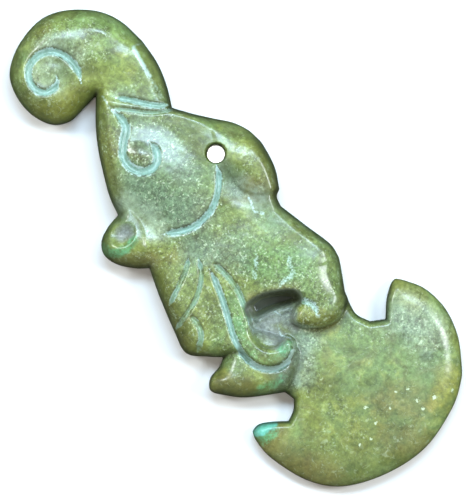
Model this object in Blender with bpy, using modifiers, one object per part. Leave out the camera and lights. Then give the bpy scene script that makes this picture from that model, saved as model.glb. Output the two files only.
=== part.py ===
"""Carved jade axe pendant, 90 mm long: a squatting creature in profile over a crescent axe blade.

The pendant lies on its flat back. +Z is up out of the carved face, +Y runs from the blade to
the crest, and the creature looks towards -X. It is one stone, so it is one object.
The figure's lines are drawn in millimetres on a drawing 90 mm long, and scale with length.
"""
import math

import bmesh
import bpy
import numpy as np

# Driving sizes, in metres
length = 0.090
figure_thickness = 0.0082
blade_thickness = 0.0042
slot_floor_thickness = 0.0014
rim_land = 0.0008
figure_rim_radius = 0.0028
crest_rim_radius = 0.0033
haunch_rim_radius = 0.0026
snout_rim_radius = 0.0038
back_rim_radius = 0.0018
notch_rim_radius = 0.0009
nape_rim_radius = 0.0010
facet_rim_radius = 0.0008
edge_fall_width = 0.0065
cutting_bevel_width = 0.0032
facet_width = 0.0021
facet_edge_width = 0.00035
groove_width = 0.0011
groove_depth = 0.0006
back_groove_depth = 0.0003
cord_hole_diameter = 0.0029
cord_hole_waist_length = 0.0030

# The length of the drawing that the lines below are given on, in millimetres
drawing_length = 90.0
per_drawn_mm = length / drawing_length

# How fine the mesh is, and how many triangles it keeps
facet_size = length / 165
most_triangles = 8600
hole_sides = 28

# The girdle, where the front's rounding meets the back's, as a share of the thickness; how far the
# back is rounded, as a share of the front's rounding; how far the face falls towards the rim, as a
# share of the thickness; and how steep the ground facets are
girdle_share = 0.42
back_rounding_share = 0.6
edge_fall_share = 0.17
facet_slope = 0.9

# Where the cord's hole is drilled, and how much its radius grows with the height from its waist
cord_hole_centre = (8.1, 11.0)
cord_hole_flare = 0.12

# Silhouette, clockwise from the notch under the scroll. Each run is smooth and ends in a corner,
# where the next one starts. The first value is how far in the rim is rounded, the second how wide a
# facet is ground along it, and the third how much the face falls towards it, as a share of the full
# fall. All three blend from run to run over rim_blend.
rim_blend = 2.5
silhouette_runs = [
    # Scroll and crest
    (crest_rim_radius, 0, 1, [
        (0.6, 30.4), (-2.4, 30.25), (-5.0, 30.2), (-7.3, 31.5), (-8.6, 34.2), (-8.8, 37.4), (-7.9, 40.6),
        (-6.3, 42.6), (-3.0, 44.3), (1.2, 45.0), (4.3, 44.4), (7.3, 42.5), (10.0, 39.5), (11.4, 36.0),
        (11.7, 31.6)]),
    # Stem of the crest, behind
    (facet_rim_radius, facet_width, 0, [(11.7, 31.6), (11.1, 27.6), (9.8, 24.1), (8.0, 20.9)]),
    # Nape
    (nape_rim_radius, 0, 0, [(8.0, 20.9), (9.8, 17.9), (11.8, 15.0)]),
    # Ear
    (figure_rim_radius, 0, 0.9, [(11.8, 15.0), (13.4, 12.7), (14.3, 10.4), (14.48, 8.8)]),
    (back_rim_radius, 0, 0.1, [(14.48, 8.8), (14.45, 7.0), (13.4, 3.2), (11.6, 0.2)]),
    # Nick under the ear
    (notch_rim_radius, 0, 0, [(11.6, 0.2), (10.5, -0.4), (9.95, -1.9)]),
    # Back
    (back_rim_radius, 0, 0.1, [
        (9.95, -1.9), (10.4, -4.5), (10.8, -7.0), (11.45, -10.4), (11.55, -12.2), (11.1, -14.0)]),
    # Haunch
    (haunch_rim_radius, 0, 1.2, [(11.1, -14.0), (9.7, -16.2), (8.2, -18.4)]),
    # Right side of the blade's neck
    (notch_rim_radius, 0, 0, [(8.2, -18.4), (7.1, -22.0), (7.9, -24.6)]),
    (notch_rim_radius, 0, 0, [(7.9, -24.6), (9.9, -26.0)]),
    # Right horn
    (notch_rim_radius, 0, 0, [(9.9, -26.0), (12.2, -23.8), (14.4, -22.5), (15.4, -22.4)]),
    # Cutting edge, from horn to horn
    (cutting_bevel_width, 0, 0, [
        (15.4, -22.4), (16.4, -23.9), (17.7, -26.8), (17.9, -31.0), (16.5, -35.4), (14.0, -39.0),
        (12.1, -41.0), (8.0, -43.3), (0.8, -44.95), (-6.4, -43.8), (-12.8, -40.6), (-16.3, -36.0),
        (-18.0, -29.8), (-17.9, -26.2), (-17.3, -24.6)]),
    # Left horn
    (notch_rim_radius, 0, 0, [(-17.3, -24.6), (-15.9, -24.5), (-14.2, -25.5), (-12.1, -27.3)]),
    # Left side of the blade's neck
    (notch_rim_radius, 0, 0, [(-12.1, -27.3), (-10.4, -26.6), (-9.1, -25.4)]),
    (notch_rim_radius, 0, 0, [(-9.1, -25.4), (-9.4, -23.6)]),
    # Foot
    (figure_rim_radius, 0, 0.3, [
        (-9.4, -23.6), (-14.2, -20.2), (-16.5, -17.6), (-17.7, -15.5), (-16.4, -14.0), (-14.2, -13.7),
        (-12.7, -13.0)]),
    # Belly and chest
    (figure_rim_radius, 0, 0.2, [
        (-12.7, -13.0), (-14.4, -11.3), (-16.5, -8.6), (-15.6, -5.0), (-13.4, 1.0), (-11.65, 5.0)]),
    # Snout
    (snout_rim_radius, 0, 0.6, [
        (-11.65, 5.0), (-13.3, 6.5), (-15.0, 9.0), (-15.4, 11.4), (-14.2, 13.2), (-12.0, 14.1),
        (-9.6, 14.4)]),
    # Brow
    (facet_rim_radius, facet_width, 0, [
        (-9.6, 14.4), (-8.4, 17.8), (-5.2, 23.5), (-2.6, 27.0), (0.6, 30.4)]),
]

# Loops round what stands over the blade, each run with the radius of its shoulder in drawn
# millimetres. Where a loop lies outside the stone, the silhouette is the edge.
outside = 2.0
figure_loop = [
    (outside, [(-24, -12)]),
    # Belly, arm and curled hand
    (1.1, [(-12.7, -13.1), (-10.2, -14.4), (-9.9, -17.4), (-8.5, -19.5), (-6.4, -20.4), (-4.2, -20.1),
           (-3.0, -18.8), (-3.2, -17.4), (-4.2, -17.3), (-5.4, -17.3), (-6.7, -16.0), (-6.7, -13.6)]),
    # Upper wall of the deep slot
    (0.7, [(-5.6, -11.6), (-4.6, -9.8), (-2.2, -9.9), (0.2, -11.2), (2.2, -12.8)]),
    # Turned-in foot of the haunch
    (1.5, [(2.2, -14.6), (0.4, -15.0), (-1.0, -16.2), (-0.4, -18.0)]),
    (2.4, [(1.6, -20.0), (4.4, -20.9), (6.6, -20.2), (9.0, -19.4)]),
    (outside, [(24, -16), (26, 10), (24, 60), (-24, 60)]),
]
foot_loop = [
    (outside, [(-24, -11)]),
    (2.0, [(-10.0, -10.5), (-4.5, -16.0), (-3.4, -20.0), (-5.4, -21.9), (-8.2, -23.3), (-10.6, -24.0)]),
    (outside, [(-24, -23)]),
]
ear_loop = [
    (3.4, [(13.5, 16.5), (10.4, 14.4), (8.6, 10.6)]),
    (2.2, [(7.4, 6.8), (7.3, 4.0), (8.7, 1.8), (11.2, 0.2), (14.0, -0.8)]),
    (outside, [(20, 4), (20, 15)]),
]
snout_loop = [
    (outside, [(-20, 17)]),
    (2.6, [(-9.2, 15.0), (-7.6, 12.6), (-8.2, 10.0), (-9.8, 7.8), (-12.0, 5.2)]),
    (outside, [(-20, 2)]),
]

# How high the ear, the snout and the foot stand: the first two over the head, the foot over the
# back at its tip, all as shares of the figure's thickness. The foot's top falls towards the blade.
ear_rise = 0.045
snout_rise = 0.04
foot_share = 0.84
foot_fall = 0.012
foot_tip = -12.0
foot_blend = 0.0003

# The deep slot between the thigh and the blade: its edge with the radius of its corners, and how far
# in it reaches its floor, both in drawn millimetres
slot_loop = [(0.3, [(-4.3, -9.6), (-2.1, -9.65), (0.0, -10.8), (1.8, -12.4), (2.5, -13.6), (2.1, -14.5),
                    (0.8, -14.4), (-1.9, -13.1), (-4.9, -11.9), (-4.8, -10.5)])]
slot_wall_width = 0.9

# Grooves: the line that each follows, its width and its depth as shares of the usual groove. Each
# runs out over a share of its length at both ends.
groove_run_out = 0.11
grooves = {
    "spiral": (1.0, 1.25, [(0.2, 33.1), (1.2, 34.9), (1.35, 37.2), (0.5, 39.5), (-1.4, 40.7),
                           (-3.6, 40.6), (-5.2, 39.2), (-5.6, 37.3), (-4.9, 35.9), (-3.4, 35.4),
                           (-2.3, 35.8), (-1.8, 36.6)]),
    "above the collar": (0.8, 1.1, [(2.6, 27.8), (4.0, 26.0), (5.2, 24.2), (6.6, 22.4), (8.0, 21.4)]),
    "eye": (1.15, 1.2, [(0.8, 26.9), (1.0, 25.0), (0.6, 23.3), (-1.0, 22.1), (-2.6, 20.6), (-3.1, 18.6),
                        (-2.4, 16.8), (-0.8, 15.9), (0.9, 16.4), (1.8, 18.0), (1.6, 19.5)]),
    "cheek": (0.9, 1.2, [(6.9, 9.6), (6.0, 8.0), (4.2, 6.3), (1.8, 5.1), (-0.8, 4.8), (-3.4, 5.4),
                         (-6.6, 7.5)]),
    "upper feather": (0.62, 0.8, [(-6.0, 2.0), (-7.6, 0.9), (-9.6, 0.0), (-13.4, -1.4)]),
    "lower feather": (0.65, 0.9, [(-4.9, 1.0), (-6.4, -1.3), (-8.8, -3.1), (-11.6, -4.1), (-15.4, -4.8)]),
    "belly fold": (0.75, 0.9, [(-12.0, -4.7), (-12.1, -6.8), (-13.1, -8.4), (-15.2, -9.8)]),
    "outer arm": (0.85, 1.1, [(-4.8, -1.2), (-5.9, -4.6), (-7.6, -8.4), (-9.4, -12.0), (-10.2, -15.4),
                             (-9.6, -18.0), (-8.0, -19.8), (-6.0, -20.3), (-3.9, -19.5)]),
    "inner arm": (0.75, 0.9, [(-3.9, -0.9), (-3.6, -3.6), (-3.9, -6.8), (-4.9, -9.6), (-6.2, -12.8)]),
    "foot crease": (0.55, 0.6, [(2.0, -14.8), (2.9, -16.2), (2.7, -18.0)]),
}
back_grooves = ["spiral", "above the collar", "eye", "cheek", "outer arm", "inner arm"]

# Swells and hollows: centre, half-axes, and rise as a share of the figure's thickness
swells = {
    "cheek dome": ((-0.9, 15.2), (7.0, 9.4), 0.11),
    "ear": ((10.6, 7.6), (4.4, 6.0), 0.05),
    "neck": ((-1.5, 2.4), (12.0, 4.6), -0.035),
    "dip behind the jaw": ((7.2, 4.8), (3.4, 5.4), -0.055),
    "shoulder": ((2.5, -5.0), (8.0, 7.0), 0.04),
    "haunch": ((6.6, -13.6), (5.2, 6.6), 0.05),
    "dip beside the snout": ((-6.9, 10.6), (3.6, 4.8), -0.07),
    "scroll": ((-2.6, 37.8), (4.2, 4.2), -0.06),
    "scroll boss": ((-2.3, 37.9), (2.6, 2.4), 0.05),
    "crest stem": ((4.6, 30.0), (5.0, 5.5), -0.04),
    "crest behind": ((10.2, 38.4), (5.0, 6.0), 0.11),
    "eye boss": ((-0.6, 19.0), (2.2, 2.4), 0.05),
}
blade_crown = ((0.0, -31.0), (21.0, 17.0), 0.16)
crest_ridge = [(-7.0, 37.6), (-5.6, 41.0), (-2.4, 42.6), (1.2, 42.1), (4.1, 40.3), (6.2, 37.0), (6.8, 33.4),
               (6.2, 29.0)]
crest_ridge_width = 4.6
crest_ridge_rise = 0.07
crest_ridge_fade = 0.5
nostril_cup = ((-11.1, 11.5), (2.3, 1.8), 0.15)


def clear_scene():
    for thing in list(bpy.data.objects):
        bpy.data.objects.remove(thing)


def smooth_run(points, closed=False, steps=7):
    """Rows on a smooth curve through the given ones: a Catmull-Rom curve."""
    knots = np.array(points, float)
    if closed:
        knots = np.vstack([knots[-1], knots, knots[0], knots[1]])
    else:
        knots = np.vstack([2 * knots[0] - knots[1], knots, 2 * knots[-1] - knots[-2]])
    t = np.linspace(0, 1, steps, endpoint=False)[:, None]
    pieces = []
    for before, start, end, after in zip(knots, knots[1:], knots[2:], knots[3:]):
        pieces.append(0.5 * (2 * start + (end - before) * t
                             + (2 * before - 5 * start + 4 * end - after) * t ** 2
                             + (3 * start - before - 3 * end + after) * t ** 3))
    pieces.append(knots[-2][None])
    return np.vstack(pieces)


def drawn_line(points):
    """A smooth open line in metres, from points in drawn millimetres."""
    return smooth_run(points) * per_drawn_mm


def drawn_loop(runs):
    """A smooth closed line in metres, with the shoulder radius of its runs in the third column."""
    return smooth_run([(x, y, radius) for radius, run in runs for x, y in run], closed=True) * per_drawn_mm


def silhouette_line():
    """The silhouette in metres, with corners between its runs. The columns after x and y are the rim's
    radius, the facet's width and the share of the face's fall, blended from one run to the next."""
    rows = []
    for radius, facet, fall, run in silhouette_runs:
        rows += [(x, y, radius, facet, fall) for x, y in drawn_line(run)[:-1]]
    line = np.array(rows + rows[:1])
    reach = rim_blend * per_drawn_mm
    length_before = np.append(0, np.cumsum(np.hypot(*np.diff(line[:, :2], axis=0).T)))
    apart = np.abs(length_before[:, None] - length_before[None, :-1])
    apart = np.minimum(apart, length_before[-1] - apart)
    weight = np.exp(-(apart / reach) ** 2) * np.diff(length_before)
    line[:, 2:] = weight @ line[:-1, 2:] / weight.sum(axis=1)[:, None]
    return line


def nearest_on(path, points):
    """For each point, its distance to the path, the row that the path has at the nearest place,
    and the share of the path's length there."""
    start = path[:-1, :2]
    step = path[1:, :2] - start
    size = np.hypot(step[:, 0], step[:, 1])
    reached = np.append(0, np.cumsum(size))
    off = points[:, None] - start
    along = np.clip((off * step).sum(axis=2) / size ** 2, 0, 1)
    gap = np.linalg.norm(off - along[..., None] * step, axis=2)
    best = gap.argmin(axis=1)
    each = np.arange(len(points))
    fraction = along[each, best]
    place = path[best] + (path[best + 1] - path[best]) * fraction[:, None]
    return gap[each, best], place, (reached[best] + fraction * size[best]) / reached[-1]


def inside(loop, points):
    """Whether each point is inside a closed loop, by counting the edges to its right."""
    start, end = loop[:-1], loop[1:]
    x, y = points[:, 0, None], points[:, 1, None]
    spans = (start[:, 1] > y) != (end[:, 1] > y)
    rise = np.where(end[:, 1] == start[:, 1], 1, end[:, 1] - start[:, 1])
    cross = start[:, 0] + (y - start[:, 1]) * (end[:, 0] - start[:, 0]) / rise
    return (spans & (x < cross)).sum(axis=1) % 2 == 1


def shoulder_in(points, runs):
    """0 outside a loop and 1 well inside it, with a rounded shoulder at its edge."""
    loop = drawn_loop(runs)
    gap, place, _ = nearest_on(loop, points)
    return quarter_round(np.where(inside(loop, points), gap, 0), place[:, 2])


def quarter_round(depth, radius):
    """0 at the edge and 1 from radius inwards, along a quarter circle."""
    share = np.clip(depth / radius, 0, 1)
    return np.sqrt(1 - (1 - share) ** 2)


def dome(points, centre, half_axes):
    """1 at the centre of an ellipse, and 0 at its edge and outside, along a parabola."""
    off = (points / per_drawn_mm - centre) / half_axes
    return np.clip(1 - (off ** 2).sum(axis=1), 0, 1)


def smooth_max(a, b, width):
    """The larger of two heights, with a fillet where they cross."""
    share = np.clip(0.5 + 0.5 * (a - b) / width, 0, 1)
    return b + (a - b) * share + width * share * (1 - share)


def ease(value, low, high):
    """0 up to low and 1 from high on, smoothly."""
    share = np.clip((value - low) / (high - low), 0, 1)
    return share * share * (3 - 2 * share)


def groove_cut(points, name, depth):
    """How deep a groove cuts at each point. It is round in section and fades at both ends."""
    width_share, depth_share, line = grooves[name]
    gap, _, share = nearest_on(drawn_line(line), points)
    half = groove_width * width_share / 2
    section = np.clip(1 - (gap / half) ** 2, 0, 1)
    run_out = ease(share, 0, groove_run_out) * ease(1 - share, 0, groove_run_out)
    return depth * depth_share * section * run_out


def blade_top(points):
    """The height of the blade's face over the back, sunk at the deep slot."""
    centre, half_axes, rise = blade_crown
    crowned = blade_thickness * (1 + rise * dome(points, centre, half_axes) ** 2)
    slot = drawn_loop(slot_loop)
    into_slot = np.where(inside(slot, points), nearest_on(slot, points)[0], 0)
    in_slot = ease(into_slot, 0, slot_wall_width * per_drawn_mm)
    return crowned + (slot_floor_thickness - crowned) * in_slot


def figure_top(points):
    """The height of the creature's face over the back, before its grooves."""
    share = np.ones(len(points))
    for centre, half_axes, rise in swells.values():
        share += rise * dome(points, centre, half_axes) ** 2
    gap, _, along = nearest_on(drawn_line(crest_ridge), points)
    across = gap / per_drawn_mm / crest_ridge_width
    share += crest_ridge_rise * np.clip(1 - across ** 2, 0, 1) ** 2 * ease(1 - along, 0, crest_ridge_fade)
    share += ear_rise * shoulder_in(points, ear_loop)
    share += snout_rise * shoulder_in(points, snout_loop)
    return figure_thickness * share


def foot_top(points):
    """The height of the foot's face over the back, falling from its tip towards the blade."""
    from_tip = points[:, 0] / per_drawn_mm - foot_tip
    return figure_thickness * (foot_share - foot_fall * from_tip)


def thickness_at(points):
    """The pendant's thickness away from its rim, at each point: the blade, then what stands on it."""
    blade = blade_top(points)
    foot = blade + (foot_top(points) - blade) * shoulder_in(points, foot_loop)
    figure = blade + (figure_top(points) - blade) * shoulder_in(points, figure_loop)
    return smooth_max(figure, foot, foot_blend)


def deepest_groove(points, names, depth):
    """How deep the deepest of the named grooves cuts at each point."""
    cuts = [groove_cut(points, name, depth) for name in names]
    return np.max(cuts, axis=0)


def front_cuts(points):
    """The depth of the grooves and of the nostril's cup in the front, at each point."""
    centre, half_axes, depth = nostril_cup
    cup = figure_thickness * depth * dome(points, centre, half_axes)
    return np.maximum(deepest_groove(points, grooves, groove_depth), cup)


def rounded_rim(gap, radius):
    """How far a point of the blank moves to from the rim, and how much of its height it reaches:
    the blank's outer stretch is bent into a quarter circle."""
    turn = np.clip(gap / radius, 0, 1) * math.pi / 2
    reach = np.where(gap < radius, radius * (1 - np.cos(turn)), gap)
    return reach, np.sin(turn)


def carve(points, layer, silhouette):
    """Moves the blank's points to the carved surface. layer is 0 on the blank's back, 1 on its
    front and between them on its side."""
    gap, place, _ = nearest_on(silhouette, points)
    gap = np.where(inside(silhouette, points), gap, 0)
    rim, radius, facet, fall = place[:, :2], place[:, 2], place[:, 3], place[:, 4]
    front_reach, front_rise = rounded_rim(gap, radius)
    back_reach, back_rise = rounded_rim(gap, radius * back_rounding_share)
    reach = back_reach + (front_reach - back_reach) * layer
    moved = rim + (points - rim) * (reach / np.maximum(gap, 1e-9))[:, None]

    thick = thickness_at(moved)
    girdle_top = thick * girdle_share + rim_land / 2
    girdle_foot = thick * girdle_share - rim_land / 2
    edge_fall = edge_fall_share * fall * thick * np.clip(1 - reach / edge_fall_width, 0, 1) ** 2
    past_facet = facet - reach
    ground = facet_slope * (past_facet + np.hypot(past_facet, facet_edge_width)) / 2 + edge_fall
    front = girdle_top + (thick - ground - girdle_top) * front_rise
    front = np.maximum(front - front_cuts(moved), np.minimum(front, girdle_top))
    back = girdle_foot * (1 - back_rise) + deepest_groove(moved, back_grooves, back_groove_depth)
    return np.column_stack([moved, back + (front - back) * layer])


def make_material():
    jade = bpy.data.materials.new("jade")
    jade.use_nodes = True
    shader = jade.node_tree.nodes["Principled BSDF"]
    shader.inputs["Base Color"].default_value = (0.19, 0.24, 0.09, 1)
    shader.inputs["Roughness"].default_value = 0.35
    shader.inputs["Metallic"].default_value = 0.0
    jade.diffuse_color = (0.19, 0.24, 0.09, 1)
    return jade


def evaluated_mesh(thing):
    bpy.context.view_layer.update()
    graph = bpy.context.evaluated_depsgraph_get()
    return bpy.data.meshes.new_from_object(thing.evaluated_get(graph))


def sawn_blank(outline, thickness):
    """The sawn blank: the silhouette as a filled and extruded curve, made a closed mesh."""
    curve = bpy.data.curves.new("blank", "CURVE")
    curve.dimensions = "2D"
    curve.fill_mode = "BOTH"
    curve.extrude = thickness / 2
    spline = curve.splines.new("POLY")
    spline.points.add(len(outline) - 2)
    for point, (x, y) in zip(spline.points, outline[:-1]):
        point.co = (x, y, 0, 1)
    spline.use_cyclic_u = True
    drawn = bpy.data.objects.new("drawn blank", curve)
    bpy.context.scene.collection.objects.link(drawn)
    mesh = evaluated_mesh(drawn)
    bpy.data.objects.remove(drawn)
    shape = bmesh.new()
    shape.from_mesh(mesh)
    bmesh.ops.remove_doubles(shape, verts=shape.verts, dist=1e-6)
    shape.to_mesh(mesh)
    shape.free()
    return mesh


def even_mesh(mesh, size):
    """The same shape with faces of one even size, so that it can be carved anywhere."""
    solid = bpy.data.objects.new("even blank", mesh)
    bpy.context.scene.collection.objects.link(solid)
    even = solid.modifiers.new("even grain", "REMESH")
    even.mode = "VOXEL"
    even.voxel_size = size
    remeshed = evaluated_mesh(solid)
    bpy.data.objects.remove(solid)
    return remeshed


def make_pendant(collection):
    """The stone: an even blank, carved, then thinned to the faces that its shape needs."""
    silhouette = silhouette_line()
    blank_thickness = 2 * facet_size
    mesh = even_mesh(sawn_blank(silhouette[:, :2], blank_thickness), facet_size)
    co = np.empty(len(mesh.vertices) * 3, np.float32)
    mesh.vertices.foreach_get("co", co)
    co = co.reshape(-1, 3).astype(float)
    layer = np.clip(co[:, 2] / blank_thickness + 0.5, 0, 1)
    carved = carve(co[:, :2], layer, silhouette)
    mesh.vertices.foreach_set("co", carved.astype(np.float32).ravel())
    mesh.materials.clear()
    mesh.materials.append(make_material())
    mesh.update()
    mesh.calc_loop_triangles()
    pendant = bpy.data.objects.new("axe_pendant", mesh)
    collection.objects.link(pendant)
    thin = pendant.modifiers.new("fewer facets", "DECIMATE")
    thin.ratio = min(1, most_triangles / len(mesh.loop_triangles))
    return pendant


def make_cord_hole(collection):
    """The cutter for the cord's hole, which is drilled from both faces and narrowest halfway."""
    waist = cord_hole_diameter / 2
    middle = figure_thickness / 2
    half_waist = cord_hole_waist_length / 2
    past_face = figure_thickness
    mouth = waist + cord_hole_flare * past_face
    profile = [(0, middle + half_waist + past_face), (mouth, middle + half_waist + past_face),
               (waist, middle + half_waist), (waist, middle - half_waist),
               (mouth, middle - half_waist - past_face), (0, middle - half_waist - past_face)]
    mesh = bpy.data.meshes.new("cord_hole_cutter")
    edges = [(i, i + 1) for i in range(len(profile) - 1)]
    mesh.from_pydata([(x, 0, z) for x, z in profile], edges, [])
    cutter = bpy.data.objects.new("cord_hole_cutter", mesh)
    x, y = cord_hole_centre
    cutter.location = (x * per_drawn_mm, y * per_drawn_mm, 0)
    collection.objects.link(cutter)
    turn = cutter.modifiers.new("turn", "SCREW")
    turn.steps = hole_sides
    turn.render_steps = hole_sides
    turn.use_merge_vertices = True
    turn.merge_threshold = 1e-5
    cutter.hide_render = True
    cutter.display_type = "WIRE"
    return cutter


def main():
    clear_scene()
    model = bpy.data.collections.new("Jade axe pendant")
    cutters = bpy.data.collections.new("Cutters")
    for collection in (model, cutters):
        bpy.context.scene.collection.children.link(collection)
    pendant = make_pendant(model)
    drill = pendant.modifiers.new("cord hole", "BOOLEAN")
    drill.operation = "DIFFERENCE"
    drill.object = make_cord_hole(cutters)


main()
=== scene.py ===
"""Jade axe pendant: a squatting creature in profile over a crescent axe blade, in olive jade.

The stone lies on its back: +Z is up out of the carved face, +Y runs from the blade to the crest.
Its lines are drawn in millimetres, and drawn_mm turns a drawn millimetre into metres.
"""
import math

import bmesh
import bpy
import numpy as np
from mathutils import Matrix, Vector


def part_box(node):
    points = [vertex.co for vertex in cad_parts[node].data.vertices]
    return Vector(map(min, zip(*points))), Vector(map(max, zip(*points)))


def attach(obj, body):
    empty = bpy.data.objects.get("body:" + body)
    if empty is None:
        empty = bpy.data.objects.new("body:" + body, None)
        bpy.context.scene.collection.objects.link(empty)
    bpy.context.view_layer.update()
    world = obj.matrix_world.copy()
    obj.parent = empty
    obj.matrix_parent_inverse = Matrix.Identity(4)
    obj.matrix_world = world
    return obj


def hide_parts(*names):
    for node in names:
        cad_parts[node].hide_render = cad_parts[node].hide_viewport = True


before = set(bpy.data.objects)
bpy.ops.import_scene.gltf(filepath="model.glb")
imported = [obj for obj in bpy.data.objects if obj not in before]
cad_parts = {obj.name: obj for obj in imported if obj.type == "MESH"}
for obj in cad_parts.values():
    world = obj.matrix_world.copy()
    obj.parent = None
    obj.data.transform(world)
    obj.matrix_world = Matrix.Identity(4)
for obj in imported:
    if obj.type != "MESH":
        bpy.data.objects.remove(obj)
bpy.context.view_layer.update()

# The sawn blank
# The carver saws a slab of olive jade to the outline of the creature and the axe under it. Every
# run of the outline carries how far in its edge will be rounded, how wide a facet is ground along
# it, and how much the face falls away towards it, as a share.
low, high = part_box("axe_pendant")
drawn_length = 89.94
drawn_mm = (high.y - low.y) / drawn_length
voxel = 0.166
blank_thickness = 2 * voxel

figure_rim = 2.8
crest_rim = 3.3
haunch_rim = 2.6
snout_rim = 3.8
back_rim = 1.8
notch_rim = 0.9
nape_rim = 1.0
facet_rim = 0.8
cutting_bevel = 3.2
facet_width = 2.1
rim_blend = 2.5
outline_runs = [
    # Scroll and crest
    (crest_rim, 0, 1, [
        (0.6, 30.4), (-2.4, 30.25), (-5.0, 30.2), (-7.3, 31.5), (-8.6, 34.2), (-8.8, 37.4), (-7.9, 40.6),
        (-6.3, 42.6), (-3.0, 44.3), (1.2, 45.0), (4.3, 44.4), (7.3, 42.5), (10.0, 39.5), (11.4, 36.0),
        (11.7, 31.6)]),
    # Stem of the crest, behind
    (facet_rim, facet_width, 0, [(11.7, 31.6), (11.1, 27.6), (9.8, 24.1), (8.0, 20.9)]),
    # Nape
    (nape_rim, 0, 0, [(8.0, 20.9), (9.8, 17.9), (11.8, 15.0)]),
    # Ear
    (figure_rim, 0, 0.9, [(11.8, 15.0), (13.4, 12.7), (14.3, 10.4), (14.48, 8.8)]),
    (back_rim, 0, 0.1, [(14.48, 8.8), (14.45, 7.0), (13.4, 3.2), (11.6, 0.2)]),
    # Nick under the ear
    (notch_rim, 0, 0, [(11.6, 0.2), (10.5, -0.4), (9.95, -1.9)]),
    # Back
    (back_rim, 0, 0.1, [
        (9.95, -1.9), (10.4, -4.5), (10.8, -7.0), (11.45, -10.4), (11.55, -12.2), (11.1, -14.0)]),
    # Haunch
    (haunch_rim, 0, 1.2, [(11.1, -14.0), (9.7, -16.2), (8.2, -18.4)]),
    # Right side of the blade's neck
    (notch_rim, 0, 0, [(8.2, -18.4), (7.1, -22.0), (7.9, -24.6)]),
    (notch_rim, 0, 0, [(7.9, -24.6), (9.9, -26.0)]),
    # Right horn
    (notch_rim, 0, 0, [(9.9, -26.0), (12.2, -23.8), (14.4, -22.5), (15.4, -22.4)]),
    # Cutting edge, from horn to horn
    (cutting_bevel, 0, 0, [
        (15.4, -22.4), (16.4, -23.9), (17.7, -26.8), (17.9, -31.0), (16.5, -35.4), (14.0, -39.0),
        (12.1, -41.0), (8.0, -43.3), (0.8, -44.95), (-6.4, -43.8), (-12.8, -40.6), (-16.3, -36.0),
        (-18.0, -29.8), (-17.9, -26.2), (-17.3, -24.6)]),
    # Left horn
    (notch_rim, 0, 0, [(-17.3, -24.6), (-15.9, -24.5), (-14.2, -25.5), (-12.1, -27.3)]),
    # Left side of the blade's neck
    (notch_rim, 0, 0, [(-12.1, -27.3), (-10.4, -26.6), (-9.1, -25.4)]),
    (notch_rim, 0, 0, [(-9.1, -25.4), (-9.4, -23.6)]),
    # Foot
    (figure_rim, 0, 0.3, [
        (-9.4, -23.6), (-14.2, -20.2), (-16.5, -17.6), (-17.7, -15.5), (-16.4, -14.0), (-14.2, -13.7),
        (-12.7, -13.0)]),
    # Belly and chest
    (figure_rim, 0, 0.2, [
        (-12.7, -13.0), (-14.4, -11.3), (-16.5, -8.6), (-15.6, -5.0), (-13.4, 1.0), (-11.65, 5.0)]),
    # Snout
    (snout_rim, 0, 0.6, [
        (-11.65, 5.0), (-13.3, 6.5), (-15.0, 9.0), (-15.4, 11.4), (-14.2, 13.2), (-12.0, 14.1),
        (-9.6, 14.4)]),
    # Brow
    (facet_rim, facet_width, 0, [(-9.6, 14.4), (-8.4, 17.8), (-5.2, 23.5), (-2.6, 27.0), (0.6, 30.4)]),
]


def smooth_run(points, closed=False, steps=7):
    """Rows on a smooth curve through the given ones: a Catmull-Rom curve."""
    knots = np.array(points, float)
    if closed:
        knots = np.vstack([knots[-1], knots, knots[0], knots[1]])
    else:
        knots = np.vstack([2 * knots[0] - knots[1], knots, 2 * knots[-1] - knots[-2]])
    t = np.linspace(0, 1, steps, endpoint=False)[:, None]
    pieces = []
    for before, start, end, after in zip(knots, knots[1:], knots[2:], knots[3:]):
        pieces.append(0.5 * (2 * start + (end - before) * t
                             + (2 * before - 5 * start + 4 * end - after) * t ** 2
                             + (3 * start - before - 3 * end + after) * t ** 3))
    pieces.append(knots[-2][None])
    return np.vstack(pieces)


def outline_path():
    """The outline, with corners between its runs. The columns after x and y are the rim's radius, the
    facet's width and the share of the face's fall, blended from one run to the next."""
    rows = []
    for radius, facet, fall, run in outline_runs:
        rows += [(x, y, radius, facet, fall) for x, y in smooth_run(run)[:-1]]
    path = np.array(rows + rows[:1])
    reached = np.append(0, np.cumsum(np.hypot(*np.diff(path[:, :2], axis=0).T)))
    apart = np.abs(reached[:, None] - reached[None, :-1])
    apart = np.minimum(apart, reached[-1] - apart)
    weight = np.exp(-(apart / rim_blend) ** 2) * np.diff(reached)
    path[:, 2:] = weight @ path[:-1, 2:] / weight.sum(axis=1)[:, None]
    return path


def evaluated_mesh(thing):
    bpy.context.view_layer.update()
    graph = bpy.context.evaluated_depsgraph_get()
    return bpy.data.meshes.new_from_object(thing.evaluated_get(graph))


def linked(name, data):
    thing = bpy.data.objects.new(name, data)
    bpy.context.scene.collection.objects.link(thing)
    return thing


def made_mesh(thing):
    """The object's mesh with its modifiers applied, and the object taken away."""
    mesh = evaluated_mesh(thing)
    bpy.data.objects.remove(thing)
    return mesh


def sawn_blank(path):
    """The outline filled and extruded, then given faces of one even size."""
    curve = bpy.data.curves.new("outline", "CURVE")
    curve.dimensions = "2D"
    curve.fill_mode = "BOTH"
    curve.extrude = blank_thickness / 2
    spline = curve.splines.new("POLY")
    spline.points.add(len(path) - 2)
    for point, (x, y) in zip(spline.points, path[:-1, :2]):
        point.co = (x, y, 0, 1)
    spline.use_cyclic_u = True
    mesh = made_mesh(linked("outline", curve))
    shape = bmesh.new()
    shape.from_mesh(mesh)
    bmesh.ops.remove_doubles(shape, verts=shape.verts, dist=1e-4)
    shape.to_mesh(mesh)
    shape.free()
    slab = linked("slab", mesh)
    even = slab.modifiers.new("even grain", "REMESH")
    even.mode = "VOXEL"
    even.voxel_size = voxel
    return made_mesh(slab)


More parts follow.
